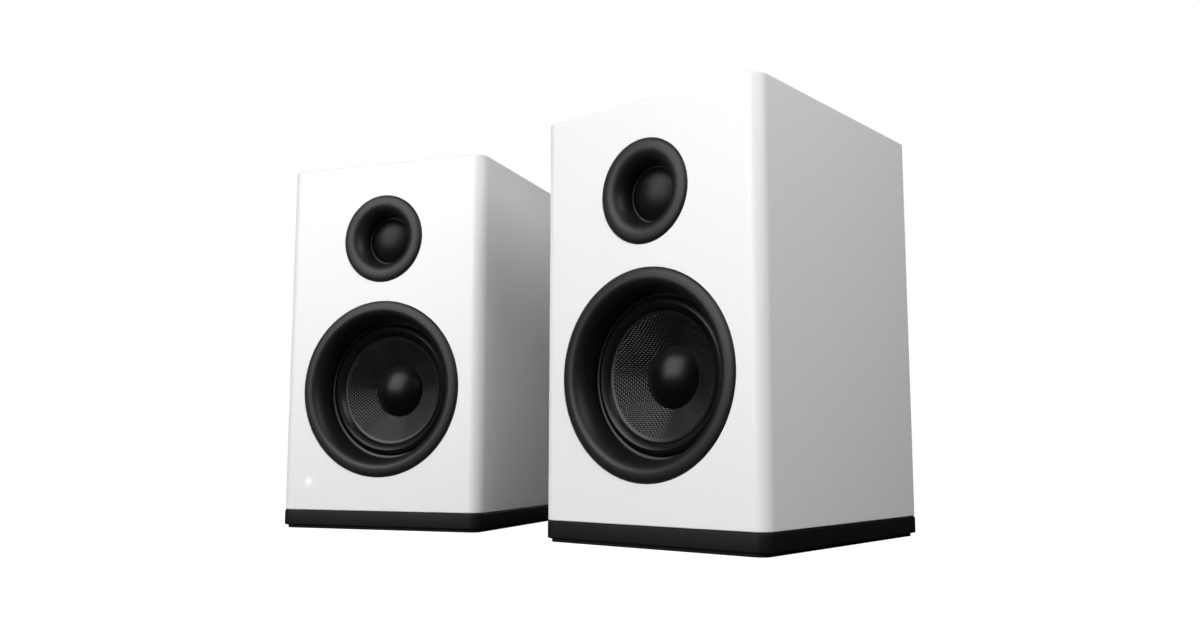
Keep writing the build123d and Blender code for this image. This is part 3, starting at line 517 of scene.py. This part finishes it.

# ---- Woofer cones ------------------------------------------------------------
# Cones pressed from resin-soaked woven glass fibre, dark grey with a fine weave
# that shows where light rakes across it. The rim is flat where it is glued.

# Plain weave under clear resin: threads cross over and under, and every other one is
# painted lighter, a painted sheen for the light it would catch. They are drawn at 1 mm, nearly twice
# the real width, to show.
woven_fibre = finish("woven_glass_fibre_charcoal", "0C0C0C", 0.26, gloss=0.44)
thread_mm = 1.0
flat_place = add_node(woven_fibre, "ShaderNodeUVMap", {"uv_map": "weave"})
pitch = add_node(
    woven_fibre,
    "ShaderNodeVectorMath",
    {"operation": "SCALE"},
    Vector=flat_place.outputs[0],
    Scale=1 / thread_mm,
)
split = add_node(woven_fibre, "ShaderNodeSeparateXYZ", Vector=pitch.outputs[0])
ridges = []
for way in (0, 1):
    half_turns = add_node(
        woven_fibre, "ShaderNodeMath", {"operation": "MULTIPLY"}, _0=split.outputs[way], _1=pi
    )
    wave = add_node(woven_fibre, "ShaderNodeMath", {"operation": "SINE"}, _0=half_turns.outputs[0])
    ridge = add_node(woven_fibre, "ShaderNodeMath", {"operation": "ABSOLUTE"}, _0=wave.outputs[0])
    ridges.append(ridge.outputs[0])
over = add_node(woven_fibre, "ShaderNodeTexChecker", Vector=pitch.outputs[0], Scale=1.0)
thread_height = add_node(
    woven_fibre,
    "ShaderNodeMix",
    {"data_type": "FLOAT"},
    _0=over.outputs["Fac"],
    _2=ridges[0],
    _3=ridges[1],
)
weave_relief = add_node(
    woven_fibre, "ShaderNodeBump", Height=thread_height.outputs[0], Strength=0.65, Distance=0.0003
)
wire(woven_fibre, weave_relief.outputs[0], "Normal")
# Painted sheen: every other thread gets a lighter base colour, as if it caught the light.
painted_thread_sheen = add_node(
    woven_fibre,
    "ShaderNodeMix",
    {"data_type": "RGBA"},
    _0=over.outputs["Fac"],
    _6=linear("020202"),
    _7=linear("1B1B1C"),
)
wire(woven_fibre, painted_thread_sheen.outputs[2], "Base Color")

slope_y, slope_r = 15.25, 31.4  # where the slope starts, inside the flat rim
steepness = 0.576  # how much deeper it gets for each millimetre further in

for side in ("left", "right"):
    rim = [(15.5, 33.5), (15.0, 33.5), (15.0, 31.9), (slope_y, slope_r)]
    slope = [(slope_y + (slope_r - r) * steepness, r) for r in np.linspace(29, 13.0, 12)]
    rear = [(29.2, 12.8), (29.2, 13.4), (27.0, 13.4), (15.9, 32.2)]
    cone = turned(rim + slope + rear, woofer_z)
    weave = cone.loops.layers.uv.new("weave")
    for face in cone.faces:
        for corner in face.loops:
            corner[weave].uv = (corner.vert.co.x, corner.vert.co.z)
    mover = f"{side}_woofer_cone_body"
    put(cone, f"{side}_woven_cone", side, woven_fibre, mover, [f"{side}_woofer_cone"])

# ---- Spiders -----------------------------------------------------------------
# Corrugated discs of cotton cloth stiffened with phenolic resin. Each centres a
# coil: it is glued to the cone's neck inside and to the basket outside.

# Resin-soaked cotton: brown and matt, with the cloth's open weave in relief.
spider_cloth = finish("phenolic_soaked_cotton", "A97E3E", 0.85)
fine_texture(spider_cloth, 0.7, 0.5, 0.12, 0.08)

spider_y, cloth_thickness = 29.8, 0.5
neck_r, first_r, last_r, folds = 13.0, 14.6, 25.4, 10
fold_radii = [first_r + (last_r - first_r) * i / folds for i in range(folds + 1)]
cloth_front = [(spider_y, neck_r)]
cloth_front += [(spider_y + (0.6 if i % 2 else -0.2), r) for i, r in enumerate(fold_radii)]
cloth_front += [(spider_y, last_r + 0.8), (spider_y, last_r + 3.2)]
cloth_rear = [(y + cloth_thickness, r) for y, r in reversed(cloth_front)]

for side in ("left", "right"):
    piece = put(
        turned(cloth_front + cloth_rear, woofer_z),
        f"{side}_corrugated_spider",
        side,
        spider_cloth,
        None,
        [f"{side}_woofer_spider"],
    )
    mover = f"{side}_woofer_cone_body"
    bend_between(piece)

# ---- Dust caps ---------------------------------------------------------------
# Shallow domes moulded in polypropylene, satin black. Each is glued over the coil
# in the middle of its cone and travels with it.

# Moulded polypropylene: deep black with one soft highlight.
cap_black = finish("moulded_polypropylene_satin_black", "050506", 0.34, gloss=0.26)
fine_texture(cap_black, 0.5, 0.08, 0.02)


def dome_points(base_r, rise, foot_y, steps):
    """Points of a shallow dome from its middle to its foot, as (depth, radius)."""
    ball = (base_r**2 + rise**2) / (2 * rise)
    lean = np.linspace(0, np.arcsin(base_r / ball), steps)
    return [(foot_y - rise + ball - ball * cos(a), ball * sin(a)) for a in lean]


shell = 0.6

for side in ("left", "right"):
    crown = dome_points(base_r=16.5, rise=7.3, foot_y=23.8, steps=20)
    inner = [(y + shell, max(r - 0.5, 0)) for y, r in reversed(crown)]
    middle = (crown[0][0] + shell, 0)
    cap = turned(crown + inner[:-1] + [middle], woofer_z, closed=False)
    mover, stands_for = f"{side}_woofer_cone_body", [f"{side}_woofer_dust_cap"]
    put(cap, f"{side}_dust_dome", side, cap_black, mover, stands_for)

# ---- Tweeter domes and surrounds ---------------------------------------------
# Soft black domes of coated cloth. Each runs on into its surround as one crown,
# and the surround's outer edge is glued behind the trim's throat.

# Silk soaked in a black coating: smooth and slightly tacky, with a soft sheen.
dome_cloth = finish("coated_silk_black", "080808", 0.4, gloss=0.2)
fine_texture(dome_cloth, 0.3, 0.08, 0.02)

crown_y, crown_ball, dome_r, skin = 5.2, 25.1, 9.6, 0.3


def crown_at(low_r, high_r, steps, behind=0.0):
    """Points on the tweeter's crown between two radii, or so far behind it."""
    radii = np.linspace(low_r, high_r, steps)
    return [(crown_y + behind + crown_ball - (crown_ball**2 - r**2) ** 0.5, r) for r in radii]


for side in ("left", "right"):
    mover = f"{side}_tweeter_dome_body"
    former = [(9.8, 9.4), (9.8, 9.1)]
    rim = [(7.45, dome_r), (7.4, 9.4)]
    points = crown_at(0, dome_r, 16) + rim + former + crown_at(9.1, 0, 12, skin)
    dome = turned(points, tweeter_z, closed=False, steps=96)
    put(dome, f"{side}_soft_dome", side, dome_cloth, mover, [f"{side}_tweeter_dome"])
    roll, underside = crown_at(9.62, 13.7, 12), crown_at(13.5, 9.62, 12, skin)
    outer_glue = [(9.35, 14.0), (9.2, 14.4), (9.2, 16.8), (9.6, 16.8), (9.65, 13.9)]
    piece = put(
        turned(roll + outer_glue + underside, tweeter_z, steps=96),
        f"{side}_tweeter_half_roll",
        side,
        dome_cloth,
        None,
        [f"{side}_tweeter_surround"],
    )
    bend_between(piece)

# ---- Status light ------------------------------------------------------------
# A clear moulded light guide behind a small hole low on the left box's front, lit
# white from inside while the pair is on.

# Lit acrylic: burnt out in the middle and a little dimmer at its rim.
lit_lens = finish("lit_clear_acrylic", "FFFFFF", 0.2)
lit_lens.node_tree.nodes["Principled BSDF"].inputs["Emission Color"].default_value = linear("FAFCFF")
lens_place = add_node(lit_lens, "ShaderNodeTexCoord")
from_middle = add_node(
    lit_lens,
    "ShaderNodeVectorMath",
    {"operation": "DISTANCE"},
    _0=lens_place.outputs["Object"],
    _1=light_at,
)
lit = add_node(
    lit_lens,
    "ShaderNodeMapRange",
    Value=from_middle.outputs["Value"],
    From_Min=0.0005,
    From_Max=0.0013,
    To_Min=3.0,
    To_Max=0.3,
)
wire(lit_lens, lit.outputs[0], "Emission Strength")

lens_points = [(-0.3, 0.0), (-0.25, 0.7), (-0.05, 1.1), (0.2, 1.25), (12.0, 1.25)]
lens = turned(lens_points, light_z, closed=False, steps=32)
bmesh.ops.holes_fill(lens, edges=[e for e in lens.edges if e.is_boundary])
bmesh.ops.translate(lens, vec=(light_x, 0, 0), verts=lens.verts)
put(lens, "status_lens", "left", lit_lens, "left_speaker", ["left_status_led"])

# ---- Back boards and ports ---------------------------------------------------
# Black fibreboard let in behind the cabinet, with the plates and the flared end
# of a moulded port tube. All of it keeps its own mesh.


def give(made, *names):
    """Gives pieces that keep their own mesh their finish."""
    for name in names:
        data = frame["nodes"][name].data
        data.materials.clear()
        data.materials.append(made)


# Rolled emulsion on fibreboard: dull, with the roller's slight stipple.
board_black = finish("black_painted_fibreboard", "262628", 0.7)
fine_texture(board_black, 0.9, 0.2, 0.05, 0.06)
# Moulded ABS: satin on the flare, duller inside.
port_black = finish("moulded_abs_port_black", "202022", 0.5)
fine_texture(port_black, 0.5, 0.12, 0.03)

give(board_black, "left_back_board", "right_back_board")
give(port_black, "left_port_tube", "right_port_tube")

# ---- Amplifier plate and terminal plate --------------------------------------
# Pressed steel plates, powder-coated black. Each is screwed over an opening in its
# back board, with posts in front that hold the circuit boards.

# Powder coat: a leathery fine orange peel with a broad low sheen.
powder_black = finish("powder_coated_steel_black", "303133", 0.5)
fine_texture(powder_black, 0.7, 0.3, 0.05, 0.05)

give(powder_black, "left_amp_panel", "right_terminal_plate")

# ---- Sockets -----------------------------------------------------------------
# Two phono sockets, a small stereo socket and the power socket, nickel-plated
# outside the plate, with moulded insulators and black bodies behind it.

# Bright nickel with faint wear. The insulators are red and white round the phono
# sockets' holes and black in the other two, so each socket reads as what it is.
socket_metal = finish("nickel_plate_and_insulators", "D2CEC6", 0.2, 1.0)
fine_texture(socket_metal, 2.5, 0.04, 0.02, 0.06)
socket_place = own_place(socket_metal, "left")
flat = add_node(
    socket_metal,
    "ShaderNodeVectorMath",
    {"operation": "MULTIPLY"},
    _0=socket_place,
    _1=(1, 0, 1),
)
colour, metal = linear("D2CEC6"), 1.0
# Across, up, and the radius and colour of the insulator.
for x, z, radius, plastic in (
    (-28, 106, 3.0, "C8241E"),
    (-13, 106, 3.0, "F0EFEA"),
    (1, 106, 2.7, "141415"),
    (18, 46, 3.6, "141415"),
):
    away = add_node(
        socket_metal,
        "ShaderNodeVectorMath",
        {"operation": "DISTANCE"},
        _0=flat.outputs[0],
        _1=(x, 0, z),
    )
    inside = add_node(
        socket_metal,
        "ShaderNodeMath",
        {"operation": "LESS_THAN"},
        _0=away.outputs["Value"],
        _1=radius,
    )
    tint = add_node(
        socket_metal,
        "ShaderNodeMix",
        {"data_type": "RGBA"},
        _0=inside.outputs[0],
        _6=colour,
        _7=linear(plastic),
    )
    plated = add_node(
        socket_metal, "ShaderNodeMix", {"data_type": "FLOAT"}, _0=inside.outputs[0], _2=metal, _3=0.0
    )
    colour, metal = tint.outputs[2], plated.outputs[0]
depth_split = add_node(socket_metal, "ShaderNodeSeparateXYZ", Vector=socket_place)
plate_front_y = 157.9  # the sockets' moulded bodies are in front of this
hidden = add_node(
    socket_metal,
    "ShaderNodeMath",
    {"operation": "LESS_THAN"},
    _0=depth_split.outputs[1],
    _1=plate_front_y,
)
tint = add_node(
    socket_metal,
    "ShaderNodeMix",
    {"data_type": "RGBA"},
    _0=hidden.outputs[0],
    _6=colour,
    _7=linear("141415"),
)
plated = add_node(
    socket_metal, "ShaderNodeMix", {"data_type": "FLOAT"}, _0=hidden.outputs[0], _2=metal, _3=0.0
)
wire(socket_metal, tint.outputs[2], "Base Color")
wire(socket_metal, plated.outputs[0], "Metallic")

give(socket_metal, "left_rear_sockets")

# ---- Volume knob and power switch --------------------------------------------
# Moulded knob with grip grooves, pressed on the control's shaft, and a rocker
# that tips in a framed housing clipped into the plate.

# Moulded ABS, a shade lighter than the plate, with a fine grain for grip.
knob_black = finish("moulded_abs_knob_black", "2B2B2D", 0.4)
fine_texture(knob_black, 0.4, 0.12, 0.03)
# Glass-filled nylon: greyish black, slightly mottled by the fibres at its skin.
nylon_black = finish("glass_filled_nylon_black", "1A1A1B", 0.5)
fine_texture(nylon_black, 0.8, 0.1, 0.03, 0.08)
# Polished polycarbonate: a hard, almost even gloss.
gloss_black = finish("polished_polycarbonate_black", "101011", 0.16)
fine_texture(gloss_black, 3.0, 0.02, 0.02)

give(knob_black, "left_volume_knob")
give(nylon_black, "left_switch_housing")
give(gloss_black, "left_power_rocker")

# ---- Cable terminals ---------------------------------------------------------
# Spring terminals: a nylon block with two levers, red and black, that open the
# wire holes when they are pressed down.

# Moulded ABS levers: bright, with a slight ripple in the gloss.
lever_red = finish("moulded_abs_gloss_red", "B0201C", 0.28)
fine_texture(lever_red, 2.0, 0.04, 0.02)
lever_black = finish("moulded_abs_gloss_black", "161617", 0.28)
fine_texture(lever_black, 2.0, 0.04, 0.02)

give(nylon_black, "left_terminal_block", "right_terminal_block")
give(lever_red, "left_terminal_lever_red", "right_terminal_lever_red")
give(lever_black, "left_terminal_lever_black", "right_terminal_lever_black")

# ---- Driver frames and motors ------------------------------------------------
# Behind the trims: a cast basket, a ferrite magnet between steel plates, and a
# copper coil on the cone's neck. The tweeter's small magnet sits in a steel cup.

# Cast alloy under dipped black paint: satin over a slightly pitted casting.
cast_black = finish("dipped_black_cast_alloy", "1C1C1D", 0.5)
fine_texture(cast_black, 1.2, 0.25, 0.06, 0.05)
# Zinc-plated mild steel: pale grey with a cloudy, uneven sheen.
zinc_steel = finish("zinc_plated_mild_steel", "A9ABAD", 0.36, 1.0)
fine_texture(zinc_steel, 5.0, 0.05, 0.03, 0.1)
# Ground and sintered ferrite: dull charcoal with a stony grain.
ferrite = finish("sintered_ferrite", "3A3A3C", 0.62)
fine_texture(ferrite, 0.6, 0.3, 0.05, 0.08)
# Nickel-plated neodymium: bright and slightly scuffed.
magnet_nickel = finish("nickel_plated_neodymium", "C9C5BD", 0.24, 1.0)
fine_texture(magnet_nickel, 2.0, 0.05, 0.02, 0.08)

for side in ("left", "right"):
    give(cast_black, f"{side}_woofer_basket")
    give(zinc_steel, f"{side}_woofer_top_plate", f"{side}_woofer_yoke", f"{side}_tweeter_pot")
    give(ferrite, f"{side}_woofer_magnet")
    give(magnet_nickel, f"{side}_tweeter_magnet")
    # Enamelled copper wire wound side by side: fine bright bands round the coil, one
    # to every 0.16 mm of its length.
    copper = finish(f"enamelled_copper_winding_{side}", "B4632C", 0.3, 1.0)
    turns = add_node(
        copper,
        "ShaderNodeTexWave",
        {"bands_direction": "Y"},
        Vector=own_place(copper, side),
        Scale=2.0,
    )
    winding = add_node(
        copper, "ShaderNodeBump", Height=turns.outputs[1], Strength=0.6, Distance=0.0001
    )
    wire(copper, winding.outputs[0], "Normal")
    give(copper, f"{side}_woofer_voice_coil", f"{side}_tweeter_voice_coil")

# ---- Circuit boards ----------------------------------------------------------
# Glass-epoxy boards on the plates' posts: amplifier, supply and crossover, with
# their parts standing forward of the board and black.

epoxy_thickness = 1.6

for side, name, back_y in (
    ("left", "left_amp_board", 143.6),
    ("left", "left_power_board", 137.6),
    ("right", "right_crossover_board", 139.6),
):
    # Solder mask over copper: green with paler runs some 4 mm apart, and the parts
    # that stand on it matt black.
    board = finish(f"green_solder_mask_{name}", "14522B", 0.35)
    fine_texture(board, 1.0, 0.06, 0.02, 0.05)
    on_board = own_place(board, side)
    runs = add_node(
        board,
        "ShaderNodeTexBrick",
        Vector=on_board,
        Scale=0.12,
        Color1=linear("14522B"),
        Color2=linear("1A5E33"),
        Mortar=linear("2C7A46"),
        Mortar_Size=0.03,
    )
    split = add_node(board, "ShaderNodeSeparateXYZ", Vector=on_board)
    off_plane = add_node(
        board,
        "ShaderNodeMath",
        {"operation": "COMPARE"},
        _0=split.outputs[1],
        _1=back_y - epoxy_thickness / 2,
        _2=epoxy_thickness / 2 + 0.05,
    )
    skin = add_node(
        board,
        "ShaderNodeMix",
        {"data_type": "RGBA"},
        _0=off_plane.outputs[0],
        _6=linear("1D1D1F"),
        _7=runs.outputs[0],
    )
    wire(board, skin.outputs[2], "Base Color")
    give(board, name)

# ---- Screws ------------------------------------------------------------------
# Pan-head screws with a cross recess, all of one size, that hold the drivers, the
# back boards and the plates.

# Black-oxide steel: dark, with a thin oily shine that varies from head to head.
screw_black = finish("black_oxide_steel", "2B2B2D", 0.4, 0.6)
fine_texture(screw_black, 3.0, 0.08, 0.02, 0.08)

give(screw_black, "left_screws", "right_screws")

# ---- Light for the backs -----------------------------------------------------
# A panel that falls only on what is let into the backs, so that the black plates
# and sockets can be made out from behind and the gap between the boxes stays dark.

back_light = panel_light("back_panel", (0.0, 1.20, 0.55), (0, 0.1, 0.1), 1.2, 0.8, 8)
back_pieces = bpy.data.collections.new("back_pieces")
for name, node in frame["nodes"].items():
    piece_name = name.split("_", 1)[1]
    if piece_name in (
        "back_board",
        "port_tube",
        "amp_panel",
        "terminal_plate",
        "rear_sockets",
        "volume_knob",
        "power_rocker",
        "switch_housing",
        "terminal_block",
        "terminal_lever_red",
        "terminal_lever_black",
        "screws",
    ):
        back_pieces.objects.link(node)
back_light.light_linking.receiver_collection = back_pieces
